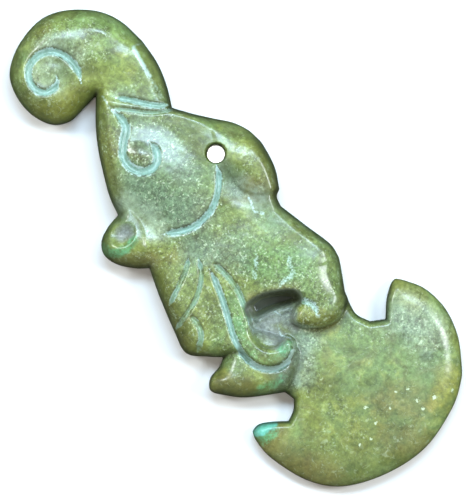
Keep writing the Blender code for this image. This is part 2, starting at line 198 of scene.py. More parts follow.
def vertex_places(mesh):
    co = np.empty(len(mesh.vertices) * 3, np.float32)
    mesh.vertices.foreach_get("co", co)
    return co.reshape(-1, 3).astype(float)


outline = outline_path()
stone_mesh = sawn_blank(outline)

# The carved form
# The figure stands over the blade, inside loops whose edges are rounded off. Swells and hollows
# give it its cheek, ear, haunch and crest, and a deep slot parts the thigh from the blade.
figure_height = 8.2
blade_height = 4.2
slot_floor = 1.4
rim_land = 0.8
girdle_share = 0.42
back_rounding_share = 0.6
facet_slope = 0.9
facet_edge = 0.35
edge_fall_share = 0.17
edge_fall_width = 6.5
outside = 2.0
figure_loop = [
    (outside, [(-24, -12)]),
    # Belly, arm and curled hand
    (1.1, [(-12.7, -13.1), (-10.2, -14.4), (-9.9, -17.4), (-8.5, -19.5), (-6.4, -20.4), (-4.2, -20.1),
           (-3.0, -18.8), (-3.2, -17.4), (-4.2, -17.3), (-5.4, -17.3), (-6.7, -16.0), (-6.7, -13.6)]),
    # Upper wall of the deep slot
    (0.7, [(-5.6, -11.6), (-4.6, -9.8), (-2.2, -9.9), (0.2, -11.2), (2.2, -12.8)]),
    # Turned-in foot of the haunch
    (1.5, [(2.2, -14.6), (0.4, -15.0), (-1.0, -16.2), (-0.4, -18.0)]),
    (2.4, [(1.6, -20.0), (4.4, -20.9), (6.6, -20.2), (9.0, -19.4)]),
    (outside, [(24, -16), (26, 10), (24, 60), (-24, 60)]),
]
foot_loop = [
    (outside, [(-24, -11)]),
    (2.0, [(-10.0, -10.5), (-4.5, -16.0), (-3.4, -20.0), (-5.4, -21.9), (-8.2, -23.3), (-10.6, -24.0)]),
    (outside, [(-24, -23)]),
]
ear_loop = [
    (3.4, [(13.5, 16.5), (10.4, 14.4), (8.6, 10.6)]),
    (2.2, [(7.4, 6.8), (7.3, 4.0), (8.7, 1.8), (11.2, 0.2), (14.0, -0.8)]),
    (outside, [(20, 4), (20, 15)]),
]
snout_loop = [
    (outside, [(-20, 17)]),
    (2.6, [(-9.2, 15.0), (-7.6, 12.6), (-8.2, 10.0), (-9.8, 7.8), (-12.0, 5.2)]),
    (outside, [(-20, 2)]),
]
ear_rise = 0.045
snout_rise = 0.04
foot_share = 0.84
foot_fall = 0.012
foot_tip = -12.0
foot_blend = 0.3
wall_foot = 0.28

slot_loop = [(0.3, [(-4.3, -9.6), (-2.1, -9.65), (0.0, -10.8), (1.8, -12.4), (2.5, -13.6), (2.1, -14.5),
                    (0.8, -14.4), (-1.9, -13.1), (-4.9, -11.9), (-4.8, -10.5)])]
slot_wall = 0.15
slot_bowl = 0.9
swells = {
    "cheek dome": ((-0.9, 15.2), (7.0, 9.4), 0.11),
    "ear": ((10.6, 7.6), (4.4, 6.0), 0.05),
    "neck": ((-1.5, 2.4), (12.0, 4.6), -0.035),
    "dip behind the jaw": ((7.2, 4.8), (3.4, 5.4), -0.055),
    "shoulder": ((2.5, -5.0), (8.0, 7.0), 0.04),
    "haunch": ((6.6, -13.6), (5.2, 6.6), 0.05),
    "dip beside the snout": ((-6.9, 10.6), (3.6, 4.8), -0.07),
    "scroll": ((-2.6, 37.8), (4.2, 4.2), -0.06),
    "scroll boss": ((-2.3, 37.9), (2.6, 2.4), 0.05),
    "crest stem": ((4.6, 30.0), (5.0, 5.5), -0.04),
    "crest behind": ((10.2, 38.4), (5.0, 6.0), 0.11),
    "eye boss": ((-0.6, 19.0), (2.2, 2.4), 0.05),
}
blade_crown = ((0.0, -31.0), (21.0, 17.0), 0.16)
crest_ridge = [(-7.0, 37.6), (-5.6, 41.0), (-2.4, 42.6), (1.2, 42.1), (4.1, 40.3), (6.2, 37.0), (6.8, 33.4),
               (6.2, 29.0)]
crest_ridge_width = 4.6
crest_ridge_rise = 0.07
crest_ridge_fade = 0.5
nostril_cup = ((-11.1, 11.5), (2.3, 1.8), 0.15)
groove_run_out = 0.11
ridges = {
    "collar": (0.8, 0.16, [(1.0, 28.9), (2.2, 27.0), (3.6, 25.1), (5.3, 23.0), (7.3, 21.5)]),
    "lip of the pit": (0.7, 0.45, [(-5.4, -12.3), (-1.9, -13.6), (0.6, -14.8)]),
}
hand_waviness = 0.012
hand_wave_lengths = (5.3, 9.7, 3.7)


def nearest_on(path, points, batch=4096):
    """For each point, its distance to the path, the row that the path has at the nearest place,
    and the share of the path's length there."""
    start = path[:-1, :2]
    step = path[1:, :2] - start
    size = np.hypot(step[:, 0], step[:, 1])
    reached = np.append(0, np.cumsum(size))
    gaps, places, shares = [], [], []
    for first in range(0, len(points), batch):
        some = points[first:first + batch]
        off_x = some[:, 0, None] - start[:, 0]
        off_y = some[:, 1, None] - start[:, 1]
        along = np.clip((off_x * step[:, 0] + off_y * step[:, 1]) / size ** 2, 0, 1)
        gap = (off_x - along * step[:, 0]) ** 2 + (off_y - along * step[:, 1]) ** 2
        best = gap.argmin(axis=1)
        each = np.arange(len(some))
        fraction = along[each, best]
        gaps.append(np.sqrt(gap[each, best]))
        places.append(path[best] + (path[best + 1] - path[best]) * fraction[:, None])
        shares.append((reached[best] + fraction * size[best]) / reached[-1])
    return np.concatenate(gaps), np.vstack(places), np.concatenate(shares)


def inside(loop, points, batch=4096):
    """Whether each point is inside a closed loop, by counting the edges to its right."""
    start, end = loop[:-1], loop[1:]
    rise = np.where(end[:, 1] == start[:, 1], 1, end[:, 1] - start[:, 1])
    found = []
    for first in range(0, len(points), batch):
        x = points[first:first + batch, 0, None]
        y = points[first:first + batch, 1, None]
        spans = (start[:, 1] > y) != (end[:, 1] > y)
        cross = start[:, 0] + (y - start[:, 1]) * (end[:, 0] - start[:, 0]) / rise
        found.append((spans & (x < cross)).sum(axis=1) % 2 == 1)
    return np.concatenate(found)


def ease(value, low, high):
    """0 up to low and 1 from high on, smoothly."""
    share = np.clip((value - low) / (high - low), 0, 1)
    return share * share * (3 - 2 * share)


def dome(points, centre, half_axes):
    """1 at the centre of an ellipse, and 0 at its edge and outside, along a parabola."""
    off = (points - centre) / half_axes
    return np.clip(1 - (off ** 2).sum(axis=1), 0, 1)


def loop_depth(points, runs, with_radius=False):
    """How far each point is inside a loop, and the loop's shoulder radius at the nearest place."""
    loop = smooth_run([(x, y, radius) for radius, run in runs for x, y in run], closed=True)
    gap, place, _ = nearest_on(loop, points)
    depth = np.where(inside(loop, points), gap, -gap)
    return (depth, place[:, 2]) if with_radius else depth


def shoulder_in(points, runs):
    """0 outside a loop and 1 well inside it, with a rounded shoulder at its edge and a narrow slope
    under it."""
    depth, radius = loop_depth(points, runs, with_radius=True)
    share = np.clip((depth + wall_foot) / (radius + wall_foot), 0, 1)
    return np.sqrt(1 - (1 - share) ** 2) * ease(depth, -wall_foot, wall_foot)


def blade_top(points):
    """The height of the blade's face over the back, sunk at the deep slot."""
    centre, half_axes, rise = blade_crown
    crowned = blade_height * (1 + rise * dome(points, centre, half_axes) ** 2)
    in_slot = ease(loop_depth(points, slot_loop), -slot_wall, slot_bowl)
    return crowned + (slot_floor - crowned) * in_slot


def figure_top(points):
    """The height of the creature's face over the back, before its grooves."""
    share = np.ones(len(points))
    for centre, half_axes, rise in swells.values():
        share += rise * dome(points, centre, half_axes) ** 2
    gap, _, along = nearest_on(smooth_run(crest_ridge), points)
    across = gap / crest_ridge_width
    share += crest_ridge_rise * np.clip(1 - across ** 2, 0, 1) ** 2 * ease(1 - along, 0, crest_ridge_fade)
    share += ear_rise * shoulder_in(points, ear_loop)
    share += snout_rise * shoulder_in(points, snout_loop)
    return figure_height * share


def foot_top(points):
    """The height of the foot's face over the back, falling from its tip towards the blade."""
    return figure_height * (foot_share - foot_fall * (points[:, 0] - foot_tip))


def smooth_max(a, b, width):
    """The larger of two heights, with a fillet where they cross."""
    share = np.clip(0.5 + 0.5 * (a - b) / width, 0, 1)
    return b + (a - b) * share + width * share * (1 - share)


def ridge_rise(points):
    """The height of the low ridges, which run out at both ends."""
    rise = np.zeros(len(points))
    for half_width, height, line in ridges.values():
        gap, _, share = nearest_on(smooth_run(line), points)
        run_out = ease(share, 0, groove_run_out) * ease(1 - share, 0, groove_run_out)
        rise += height * run_out * np.clip(1 - (gap / half_width) ** 2, 0, 1) ** 2
    return rise


def hand_waves(points):
    """The faint waviness of a face that was ground and polished by hand."""
    x, y = points.T
    short, long, across = (2 * math.pi / wave for wave in hand_wave_lengths)
    waves = np.sin(short * x + 2 * np.sin(long * y)) * np.sin(short * y + 2 * np.cos(across * x + long * y))
    return hand_waviness * (waves + 0.7 * np.sin(long * x) * np.cos(long * y + np.sin(short * x)))


def thickness_at(points):
    """The stone's thickness away from its rim, at each point: the blade, then what stands on it."""
    blade = blade_top(points)
    foot = blade + (foot_top(points) - blade) * shoulder_in(points, foot_loop)
    figure = blade + (figure_top(points) - blade) * shoulder_in(points, figure_loop)
    return smooth_max(figure, foot, foot_blend) + ridge_rise(points) + hand_waves(points)


# The grooves
# Lines are engraved last, with a small wheel fed with grit: round in section, running out at both
# ends. Each has its width and depth as shares of the usual groove. The nostril is a ground cup.
groove_width = 1.1
groove_depth = 0.6
back_groove_depth = 0.3
grooves = {
    "spiral": (1.0, 1.25, [(0.2, 33.1), (1.2, 34.9), (1.35, 37.2), (0.5, 39.5), (-1.4, 40.7),
                           (-3.6, 40.6), (-5.2, 39.2), (-5.6, 37.3), (-4.9, 35.9), (-3.4, 35.4),
                           (-2.3, 35.8), (-1.8, 36.6)]),
    "above the collar": (0.8, 1.1, [(2.6, 27.8), (4.0, 26.0), (5.2, 24.2), (6.6, 22.4), (8.0, 21.4)]),
    "below the collar": (0.5, 0.5, [(0.9, 27.0), (2.6, 25.2), (4.4, 23.0), (6.2, 21.4), (8.2, 20.4)]),
    "eye": (1.15, 1.2, [(0.8, 26.9), (1.0, 25.0), (0.6, 23.3), (-1.0, 22.1), (-2.6, 20.6), (-3.1, 18.6),
                        (-2.4, 16.8), (-0.8, 15.9), (0.9, 16.4), (1.8, 18.0), (1.6, 19.5)]),
    "cheek": (0.9, 1.2, [(6.9, 9.6), (6.0, 8.0), (4.2, 6.3), (1.8, 5.1), (-0.8, 4.8), (-3.4, 5.4),
                         (-6.6, 7.5)]),
    "upper feather": (0.62, 0.8, [(-6.0, 2.0), (-7.6, 0.9), (-9.6, 0.0), (-13.4, -1.4)]),
    "lower feather": (0.65, 0.9, [(-4.9, 1.0), (-6.4, -1.3), (-8.8, -3.1), (-11.6, -4.1), (-15.4, -4.8)]),
    "belly fold": (0.75, 0.9, [(-12.0, -4.7), (-12.1, -6.8), (-13.1, -8.4), (-15.2, -9.8)]),
    "outer arm": (0.85, 1.1, [(-4.8, -1.2), (-5.9, -4.6), (-7.6, -8.4), (-9.4, -12.0), (-10.2, -15.4),
                             (-9.6, -18.0), (-8.0, -19.8), (-6.0, -20.3), (-3.9, -19.5)]),
    "inner arm": (0.75, 0.9, [(-3.9, -0.9), (-3.6, -3.6), (-3.9, -6.8), (-4.9, -9.6), (-6.2, -12.8)]),
    "foot crease": (0.55, 0.6, [(2.0, -14.8), (2.9, -16.2), (2.7, -18.0)]),
}
filled_grooves = ["spiral", "eye", "cheek", "above the collar", "outer arm"]
back_grooves = ["spiral", "above the collar", "eye", "cheek", "outer arm", "inner arm"]


def groove_gap(points, name):
    """Each point's distance from a groove's middle in half widths, growing where it runs out."""
    width_share, _, line = grooves[name]
    path = smooth_run(line)
    half = groove_width * width_share / 2
    reach = 3 * half
    gaps = np.full(len(points), 3.0)
    close = ((points > path.min(axis=0) - reach) & (points < path.max(axis=0) + reach)).all(axis=1)
    gap, _, share = nearest_on(path, points[close])
    run_out = ease(share, 0, groove_run_out) * ease(1 - share, 0, groove_run_out)
    gaps[close] = np.minimum(gap / half + 1 - run_out, 3.0)
    return gaps


def groove_cut(points, names, depth):
    """How deep the deepest of the named grooves cuts at each point."""
    cut = np.zeros(len(points))
    for name in names:
        depth_share = grooves[name][1]
        cut = np.maximum(cut, depth * depth_share * np.clip(1 - groove_gap(points, name) ** 2, 0, 1))
    return cut


def front_cut(points):
    """The depth of the grooves and of the nostril's cup in the front, at each point."""
    centre, half_axes, depth = nostril_cup
    cup = figure_height * depth * dome(points, centre, half_axes)
    return np.maximum(groove_cut(points, grooves, groove_depth), cup)


def rounded_rim(gap, radius):
    """How far a point of the blank moves to from the rim, and how much of its height it reaches:
    the blank's outer stretch is bent into a quarter circle."""
    turn = np.clip(gap / radius, 0, 1) * math.pi / 2
    reach = np.where(gap < radius, radius * (1 - np.cos(turn)), gap)
    return reach, np.sin(turn)


def carve(points, layer):
    """Moves the blank's points to the carved surface. layer is 0 on the blank's back, 1 on its
    front and between them on its side."""
    gap, place, _ = nearest_on(outline, points)
    gap = np.where(inside(outline, points), gap, 0)
    rim, radius, facet, fall = place[:, :2], place[:, 2], place[:, 3], place[:, 4]
    front_reach, front_rise = rounded_rim(gap, radius)
    back_reach, back_rise = rounded_rim(gap, radius * back_rounding_share)
    reach = back_reach + (front_reach - back_reach) * layer
    moved = rim + (points - rim) * (reach / np.maximum(gap, 1e-9))[:, None]

    thick = thickness_at(moved)
    girdle_top = thick * girdle_share + rim_land / 2
    girdle_foot = thick * girdle_share - rim_land / 2
    edge_fall = edge_fall_share * fall * thick * np.clip(1 - reach / edge_fall_width, 0, 1) ** 2
    past_facet = facet - reach
    ground = facet_slope * (past_facet + np.hypot(past_facet, facet_edge)) / 2 + edge_fall
    front = girdle_top + (thick - ground - girdle_top) * front_rise
    front = np.maximum(front - front_cut(moved), np.minimum(front, girdle_top))
    back = girdle_foot * (1 - back_rise) + groove_cut(moved, back_grooves, back_groove_depth)
    return np.column_stack([moved, back + (front - back) * layer])


blank_places = vertex_places(stone_mesh)
layer = np.clip(blank_places[:, 2] / blank_thickness + 0.5, 0, 1)
carved_places = carve(blank_places[:, :2], layer)
stone_mesh.vertices.foreach_set("co", carved_places.astype(np.float32).ravel())
stone_mesh.update()

# The cord's hole
# It is drilled from both faces, so it is narrowest halfway. The tool marks of the carving are
# rubbed down first, and the flat back needs few faces.
hole_centre = (8.1, 11.0)
hole_diameter = 2.9
hole_waist = 3.0
hole_flare = 0.12
hole_sides = 64
rubbing = 0.5
rubbings = 2
back_faces_kept = 0.2


def hole_cutter():
    waist = hole_diameter / 2
    middle = figure_height / 2
    past_face = figure_height
    mouth = waist + hole_flare * past_face
    above, below = middle + hole_waist / 2, middle - hole_waist / 2
    profile = [(0, above + past_face), (mouth, above + past_face), (waist, above), (waist, below),
               (mouth, below - past_face), (0, below - past_face)]
    mesh = bpy.data.meshes.new("drill")
    mesh.from_pydata([(x, 0, z) for x, z in profile], [(i, i + 1) for i in range(len(profile) - 1)], [])
    drill = linked("drill", mesh)
    drill.location = (*hole_centre, 0)
    turn = drill.modifiers.new("turn", "SCREW")
    turn.steps = hole_sides
    turn.render_steps = hole_sides
    turn.use_merge_vertices = True
    turn.merge_threshold = 1e-4
    return drill


def thin_back(thing):
    """Fewer faces on the flat back, where nothing shows between them."""
    mesh = thing.data
    on_back = layer < 0.2
    corners = np.empty(len(mesh.loops), np.int32)
    mesh.loops.foreach_get("vertex_index", corners)
    face_on_back = on_back[corners].reshape(-1, 4).all(axis=1)
    mesh.vertices.foreach_set("select", on_back)
    mesh.polygons.foreach_set("select", face_on_back)
    bpy.ops.object.select_all(action="DESELECT")
    bpy.context.view_layer.objects.active = thing
    thing.select_set(True)
    bpy.ops.object.mode_set(mode="EDIT")
    bpy.ops.mesh.select_mode(type="FACE")
    bpy.ops.mesh.decimate(ratio=back_faces_kept)
    bpy.ops.object.mode_set(mode="OBJECT")


rough_stone = linked("rough stone", stone_mesh)
thin_back(rough_stone)
rub = rough_stone.modifiers.new("rubbed down", "SMOOTH")
rub.factor = rubbing
rub.iterations = rubbings
bore = rough_stone.modifiers.new("bored", "BOOLEAN")
bore.object = hole_cutter()
drilled = evaluated_mesh(rough_stone)
bpy.data.objects.remove(bore.object)
bpy.data.objects.remove(rough_stone)

# What the stone's faces carry
# Stains of the jade, old malachite on its raised edges, and pale earth in its grooves, with painted
# shade, shadow, sheen and glints among them, as said at each. Each stain is a few strokes over the
# face: half width, strength and the stroke's points.
stains = {
    "leaf": [
        (4.5, 0.5, [(4.5, 42.8), (7.6, 40.3), (9.7, 36.9), (10.5, 30.9)]),
        (4.0, 0.6, [(8.3, 30.8), (4.5, 27.9)]),
        (4.5, 0.8, [(1.6, -6.0), (3.8, -7.2), (5.0, -9.2)]),
        (3.2, 0.7, [(-5.6, -7.4), (-7.4, -11.1)]),
        (2.4, 0.6, [(7.0, 0.8), (6.6, -2.0)]),
    ],
    "honey": [
        (3.6, 0.8, [(-7.6, 33.2), (-5.6, 32.6), (-3.7, 31.7)]),
        (3.2, 0.9, [(14.9, -22.7), (15.2, -26.8)]),
        (3.6, 0.8, [(11.3, -39.1), (9.4, -40.6), (7.3, -41.1)]),
        (2.4, 0.9, [(-17.2, -15.3), (-15.0, -15.2)]),
        (2.6, 0.9, [(0.4, -16.5), (1.4, -18.2), (3.2, -20.3)]),
        (5.0, 0.6, [(-4.7, -33.8), (-4.1, -36.5)]),
        (3.2, 0.6, [(7.7, 31.3), (6.5, 29.3)]),
        (2.6, 0.7, [(-3.4, 24.4), (-6.0, 19.0), (-8.0, 15.4)]),
    ],
    "ash": [
        (6.0, 0.9, [(-3.9, 15.5), (-3.1, 10.5), (-1.4, 6.7)]),
        (5.0, 0.7, [(2.0, 21.7), (1.6, 15.7), (2.3, 11.8)]),
        (3.4, 0.8, [(-7.7, 14.8), (-8.7, 11.4)]),
        (3.2, 0.8, [(6.9, 8.2), (7.0, 5.2)]),
        (4.2, 0.8, [(-4.0, 2.8), (-0.6, -2.7)]),
        (3.2, 0.9, [(-1.9, -19.0), (-4.8, -19.8), (-8.6, -22.7)]),
        (5.0, 0.5, [(10.3, -27.6), (11.6, -33.0), (10.0, -35.8)]),
        (4.0, 0.5, [(-2.0, 36.0), (2.0, 39.0)]),
        (3.0, 0.6, [(8.6, 2.5), (8.0, -3.0)]),
    ],
    "pit": [
        (2.3, 1.0, [(-5.0, -13.2), (-4.6, -16.6)]),
        (2.0, 1.0, [(-4.0, -13.2), (-0.6, -14.8)]),
        (1.6, 0.8, [(-1.8, -15.8), (-1.6, -17.0)]),
        (1.7, 1.0, [(-11.2, 11.7), (-10.4, 11.5)]),
    ],
    "chalk_and_glint": [
        (0.30, 1.0, [(-1.9, -13.2), (-1.6, -14.5)]),
        (0.30, 1.0, [(-3.1, -15.1), (-3.8, -16.6), (-2.9, -18.0)]),
        (0.55, 1.4, [(-10.0, -16.6), (-9.4, -18.5), (-7.9, -19.9), (-6.0, -20.4), (-4.0, -19.6)]),
        (0.28, 0.6, [(-5.6, -12.4), (-3.4, -13.2), (-1.9, -13.5), (0.3, -14.8)]),
        (0.30, 0.9, [(-6.0, -10.6), (-6.4, -12.7), (-6.6, -14.2)]),
        (0.85, 1.0, [(2.5, -14.8), (3.3, -16.4), (2.6, -18.2)]),
        (0.45, 1.0, [(7.1, 2.4), (6.3, 0.2), (7.1, -0.8)]),
        (0.8, 0.9, [(1.8, -5.2), (-0.6, -7.1)]),
        (1.0, 0.9, [(5.3, -8.8), (3.9, -11.0), (1.8, -10.6)]),
        # Painted highlight where the collar meets the brow's edge.
        (0.50, 0.9, [(0.9, 27.4), (1.3, 29.4)]),
    ],
    # Pale grey bloom, and painted sheen where the blade's right side and its top beside the hand catch the
    # light.
    "bloom_and_sheen": [
        (4.8, 1.0, [(12.8, -27.0), (13.4, -31.5)]),
        (2.6, 0.9, [(-1.0, -20.2), (-3.2, -21.4), (-5.7, -24.1)]),
        (2.8, 0.9, [(-7.6, 14.9), (-6.0, 11.0), (-6.4, 8.0)]),
        (3.4, 0.7, [(-4.0, 37.0), (0.0, 40.6), (3.0, 37.2)]),
        (3.0, 0.6, [(8.2, 4.6), (7.6, 0.6)]),
        (2.4, 0.5, [(3.2, 27.2), (6.4, 23.4)]),
    ],
    # Painted highlights: glints along the crest stem's facet edge and along the step at its top.
    "painted_edge_glint": [
        (0.50, 0.9, [(9.9, 31.6), (9.1, 28.2), (8.7, 26.6)]),
        (0.60, 0.5, [(8.7, 26.6), (8.2, 24.6), (7.8, 23.2)]),
        (0.26, 0.6, [(9.8, 32.0), (11.5, 31.3)]),
    ],
    # The deep slot: painted shade, not a stain.
    "slot": [(1.9, 1.0, [(-4.0, -10.7), (-1.9, -11.2), (0.0, -12.3), (1.5, -13.6)])],
    "russet": [
        (2.8, 0.9, [(-15.2, 9.7), (-13.6, 7.3), (-10.9, 5.6)]),
        (1.8, 0.8, [(-3.0, -9.4), (-0.2, -11.0), (2.5, -12.7)]),
        (2.8, 0.9, [(-15.7, -15.9), (-13.5, -18.8)]),
        (4.6, 0.9, [(-18.1, -27.7), (-15.9, -34.0), (-13.8, -38.6)]),
        (5.0, 0.7, [(1.2, -35.1), (4.1, -38.8)]),
        (5.0, 0.7, [(-1.5, -40.2), (0.0, -42.5)]),
        (2.6, 0.8, [(-14.4, -26.9), (-16.5, -28.2)]),
        (2.6, 0.6, [(1.4, 7.4), (-0.4, 4.4)]),
        (2.6, 0.9, [(8.3, 3.9), (9.2, 1.6), (10.9, 0.7)]),
        (1.6, 0.6, [(-0.8, 19.6), (-0.2, 18.4)]),
        (2.2, 0.7, [(-14.2, -1.0), (-15.6, -7.0)]),
    ],
    "malachite": [
        (1.1, 0.9, [(-14.5, 12.4), (-14.7, 11.1), (-13.8, 10.1), (-12.0, 9.6), (-10.4, 9.7)]),
        (2.2, 0.5, [(-7.3, -10.1), (-8.3, -12.3), (-8.7, -14.8), (-8.6, -17.4), (-7.0, -19.0)]),
        (1.6, 0.8, [(-5.0, -18.6), (-3.8, -18.7)]),
        (1.1, 0.7, [(-11.7, -20.6), (-9.5, -21.4), (-7.9, -21.6)]),
        (2.0, 1.0, [(-16.4, -26.3), (-15.1, -26.3)]),
    ],
    "turquoise": [(1.9, 1.0, [(-17.0, -24.3), (-14.5, -25.1)])],
    # A darker olive tone, and painted shade on faces turned away from the light: the scroll's lower edge,
    # the stem's facet, the brow's facet, the ear's lower side, the chest, under the knob and under the
    # snout.
    "dark_tone_and_shade": [
        (3.4, 1.0, [(-6.9, 37.0), (-6.7, 34.1), (-5.2, 31.2), (-1.2, 30.4)]),
        (2.2, 0.7, [(10.6, 28.7), (8.5, 23.1)]),
        (3.2, 1.0, [(14.4, 6.4), (12.7, 2.2), (10.0, 0.4)]),
        (2.2, 0.8, [(7.9, 8.7), (7.2, 4.3), (8.4, 0.8)]),
        (2.0, 0.8, [(-1.1, 26.7), (-4.9, 21.7), (-8.2, 15.5)]),
        (3.2, 0.9, [(-11.7, 2.5), (-14.2, -3.6), (-15.2, -8.1)]),
        (1.8, 1.0, [(-0.8, -16.9), (1.8, -19.4), (5.2, -20.2), (8.2, -18.6)]),
        (7.0, 0.6, [(-15.0, -33.5), (-11.5, -37.6), (-2.4, -40.3)]),
        (3.4, 0.5, [(-2.4, -26.4), (-2.3, -30.8)]),
        (2.6, 0.9, [(-16.0, -16.4), (-13.0, -20.2)]),
        (3.0, 0.9, [(-15.4, 9.6), (-12.9, 6.4)]),
        (2.0, 0.6, [(2.6, 33.4), (2.8, 37.6), (-0.6, 41.4)]),
        (1.7, 0.9, [(-0.2, 20.2), (-0.8, 18.6)]),
        (3.4, 0.8, [(6.2, 19.6), (7.6, 15.6), (6.6, 12.6)]),
    ],
    "dusty": [
        (10.0, 1.0, [(2.0, 21.7), (0.1, 12.9), (-0.8, 5.1)]),
        (10.0, 1.0, [(-5.2, 5.0), (0.7, -4.8), (4.3, -14.0)]),
        (6.5, 0.9, [(-9.3, -1.8), (-9.4, -14.0)]),
        (5.0, 0.8, [(0.4, 42.8), (3.6, 40.0), (5.6, 36.6)]),
        (5.0, 0.7, [(-4.4, 37.6), (-1.4, 37.6)]),
        (5.5, 1.0, [(12.6, -27.4), (12.7, -33.0)]),
        (3.6, 1.0, [(-0.1, -20.0), (-3.2, -21.2), (-5.7, -24.1)]),
        (5.0, 0.7, [(5.1, -20.6), (8.1, -26.5)]),
        (3.5, 0.6, [(10.7, 9.4), (10.9, 3.9)]),
        (9.0, 0.4, [(-7.1, -33.7), (-1.0, -38.0)]),
    ],
    # A real dark spot on the blade, and painted shadow under the haunch's turned-in foot and along the
    # lower side of the creature's foot.
    "shade": [
        (1.2, 0.8, [(10.2, -34.3), (11.0, -34.8)]),
        (1.3, 0.6, [(2.4, -20.7), (5.0, -21.7), (7.4, -20.8)]),
        (2.2, 0.8, [(-4.0, -20.9), (-6.0, -21.8), (-9.0, -23.4)]),
    ],
}

# How far each mark reaches: from a groove's middle in half widths, from a rim or a corner in
# millimetres. Shade is painted in a band on the side of each groove that faces the key light, and a
# side, which is painted darker as shade, is what stands steeper than the face.
earth_reach = 1.6
filled_reach = 2.0
groove_shade_reach = 1.4
groove_shade_start = (0.7, 1.1)
groove_shade_offset = 0.5 * np.array((0.68, 0.73))
slot_brink = (-0.6, 0.1)
corner_offset = 0.2
figure_corner, foot_corner, ear_corner = 0.45, 0.4, 0.4
ear_corner_fade = (-9, -5)
side_slope = (0.1, 0.7)
side_reach = (0.8, 2.2)
rim_reach = 2.6


def point_normals(mesh):
    normals = np.empty(len(mesh.vertices) * 3, np.float32)
    mesh.vertex_normals.foreach_get("vector", normals)
    return normals.reshape(-1, 3)


def strokes_over(points, strokes):
    """How strongly a stain covers each point."""
    cover = np.zeros(len(points))
    for half_width, strength, line in strokes:
        gap = nearest_on(np.array(line, float), points)[0]
        cover = np.maximum(cover, strength * np.clip(1 - (gap / half_width) ** 2, 0, 1))
    return cover


def keep_on_points(mesh, name, values):
    layer_on_mesh = mesh.attributes.new(name, "FLOAT", "POINT")
    layer_on_mesh.data.foreach_set("value", np.asarray(values, np.float32))


def corner_beside(depth, width):
    """1 in the corner at the foot of a wall, fading away from it on both sides."""
    return np.exp(-((depth + corner_offset) / width) ** 2)


spots = vertex_places(drilled)[:, :2]
up = point_normals(drilled)[:, 2]
for stain, strokes in stains.items():
    keep_on_points(drilled, stain, strokes_over(spots, strokes))
face_up = ease(up, 0.0, 0.3)
face_down = ease(-up, 0.0, 0.3)
groove_gaps = np.minimum.reduce([groove_gap(spots, name) for name in grooves])
back_gaps = np.minimum.reduce([groove_gap(spots, name) for name in back_grooves])
keep_on_points(drilled, "groove", face_up * np.clip(earth_reach - groove_gaps, 0, earth_reach)
               + face_down * np.clip(earth_reach - back_gaps, 0, earth_reach))
filled_gaps = np.minimum.reduce([groove_gap(spots, name) for name in filled_grooves])
keep_on_points(drilled, "filled", face_up * ease(filled_reach - filled_gaps, 0, 1))
figure_depth = loop_depth(spots, figure_loop)
in_slot = ease(loop_depth(spots, slot_loop), *slot_brink)
# Painted shade on the floor of the deep slot.
keep_on_points(drilled, "slot floor", in_slot * ease(up, 0.5, 0.95))
# Painted shade in the corners at the foot of the figure's, the foot's and the ear's walls.
beside_figure = corner_beside(figure_depth, figure_corner) * (1 - in_slot)
beside_foot = corner_beside(loop_depth(spots, foot_loop), foot_corner) * (figure_depth < 0)
beside_ear = corner_beside(loop_depth(spots, ear_loop), ear_corner) * ease(-spots[:, 1], *ear_corner_fade)
keep_on_points(drilled, "painted_corner_shade", np.maximum.reduce([beside_figure, beside_foot, beside_ear]) * face_up)
rim_gap = nearest_on(outline, spots)[0]
# Painted shade on the steep sides near the outline, where they turn away from the light.
steep = 1 - ease(np.abs(up), *side_slope)
keep_on_points(drilled, "side", steep * (1 - ease(rim_gap, *side_reach)))
# Painted shade: the face is darkened towards the outline, where it rounds away from the light.
keep_on_points(drilled, "rim", 1 - ease(rim_gap, 0.0, rim_reach))
# Painted shade: a dark band just outside each groove, on its side towards the key light.
groove_shade_gaps = np.minimum.reduce([groove_gap(spots - groove_shade_offset, name) for name in grooves])
painted_groove_shade = np.clip(groove_shade_reach - groove_shade_gaps, 0, 1) * ease(groove_gaps, *groove_shade_start)
keep_on_points(drilled, "painted_groove_shade", face_up * painted_groove_shade)

# The face's faint waves stay inside the solid's box
drilled.transform(Matrix.Scale(drawn_mm, 4))
kept_in = np.clip(vertex_places(drilled), np.array(low), np.array(high))
drilled.vertices.foreach_set("co", kept_in.astype(np.float32).ravel())
drilled.shade_smooth()
pendant = linked("jade_pendant", drilled)
drilled.calc_loop_triangles()
print("pendant triangles", len(drilled.loop_triangles))

# The jade
# Olive nephrite with a waxy hand polish, clouded by paler and darker olive, flecked with white,
# scratched and pitted by burial.
jade = bpy.data.materials.new("olive jade")
jade.use_nodes = True
jade_tree = jade.node_tree
jade_shader = jade_tree.nodes["Principled BSDF"]


class Shade:
    """A socket of the jade's material. Arithmetic on it adds Math nodes."""

    def __init__(self, socket):
        self.socket = socket

    @classmethod
    def node(cls, kind, settings, sockets, output=0):
        made = jade_tree.nodes.new(kind)
        for name, value in settings.items():
            setattr(made, name, value)
        for name, value in sockets.items():
            if isinstance(value, Shade):
                jade_tree.links.new(value.socket, made.inputs[name])
            else:
                made.inputs[name].default_value = value
        return cls(made.outputs[output])

    @classmethod
    def maths(cls, operation, first, second=0):
        return cls.node("ShaderNodeMath", {"operation": operation}, {0: first, 1: second})

    def __add__(self, other):
        return self.maths("ADD", self, other)

    def __sub__(self, other):
        return self.maths("SUBTRACT", self, other)

    def __rsub__(self, other):
        return self.maths("SUBTRACT", other, self)

    def __mul__(self, other):
        return self.maths("MULTIPLY", self, other)

    def __abs__(self):
        return self.maths("ABSOLUTE", self)

    __radd__ = __add__
    __rmul__ = __mul__


def picked(red, green, blue):
    """A colour judged on the usual 0 to 255 scale, as the shader needs it."""
    return tuple((level / 255) ** 2.2 for level in (red, green, blue)) + (1,)


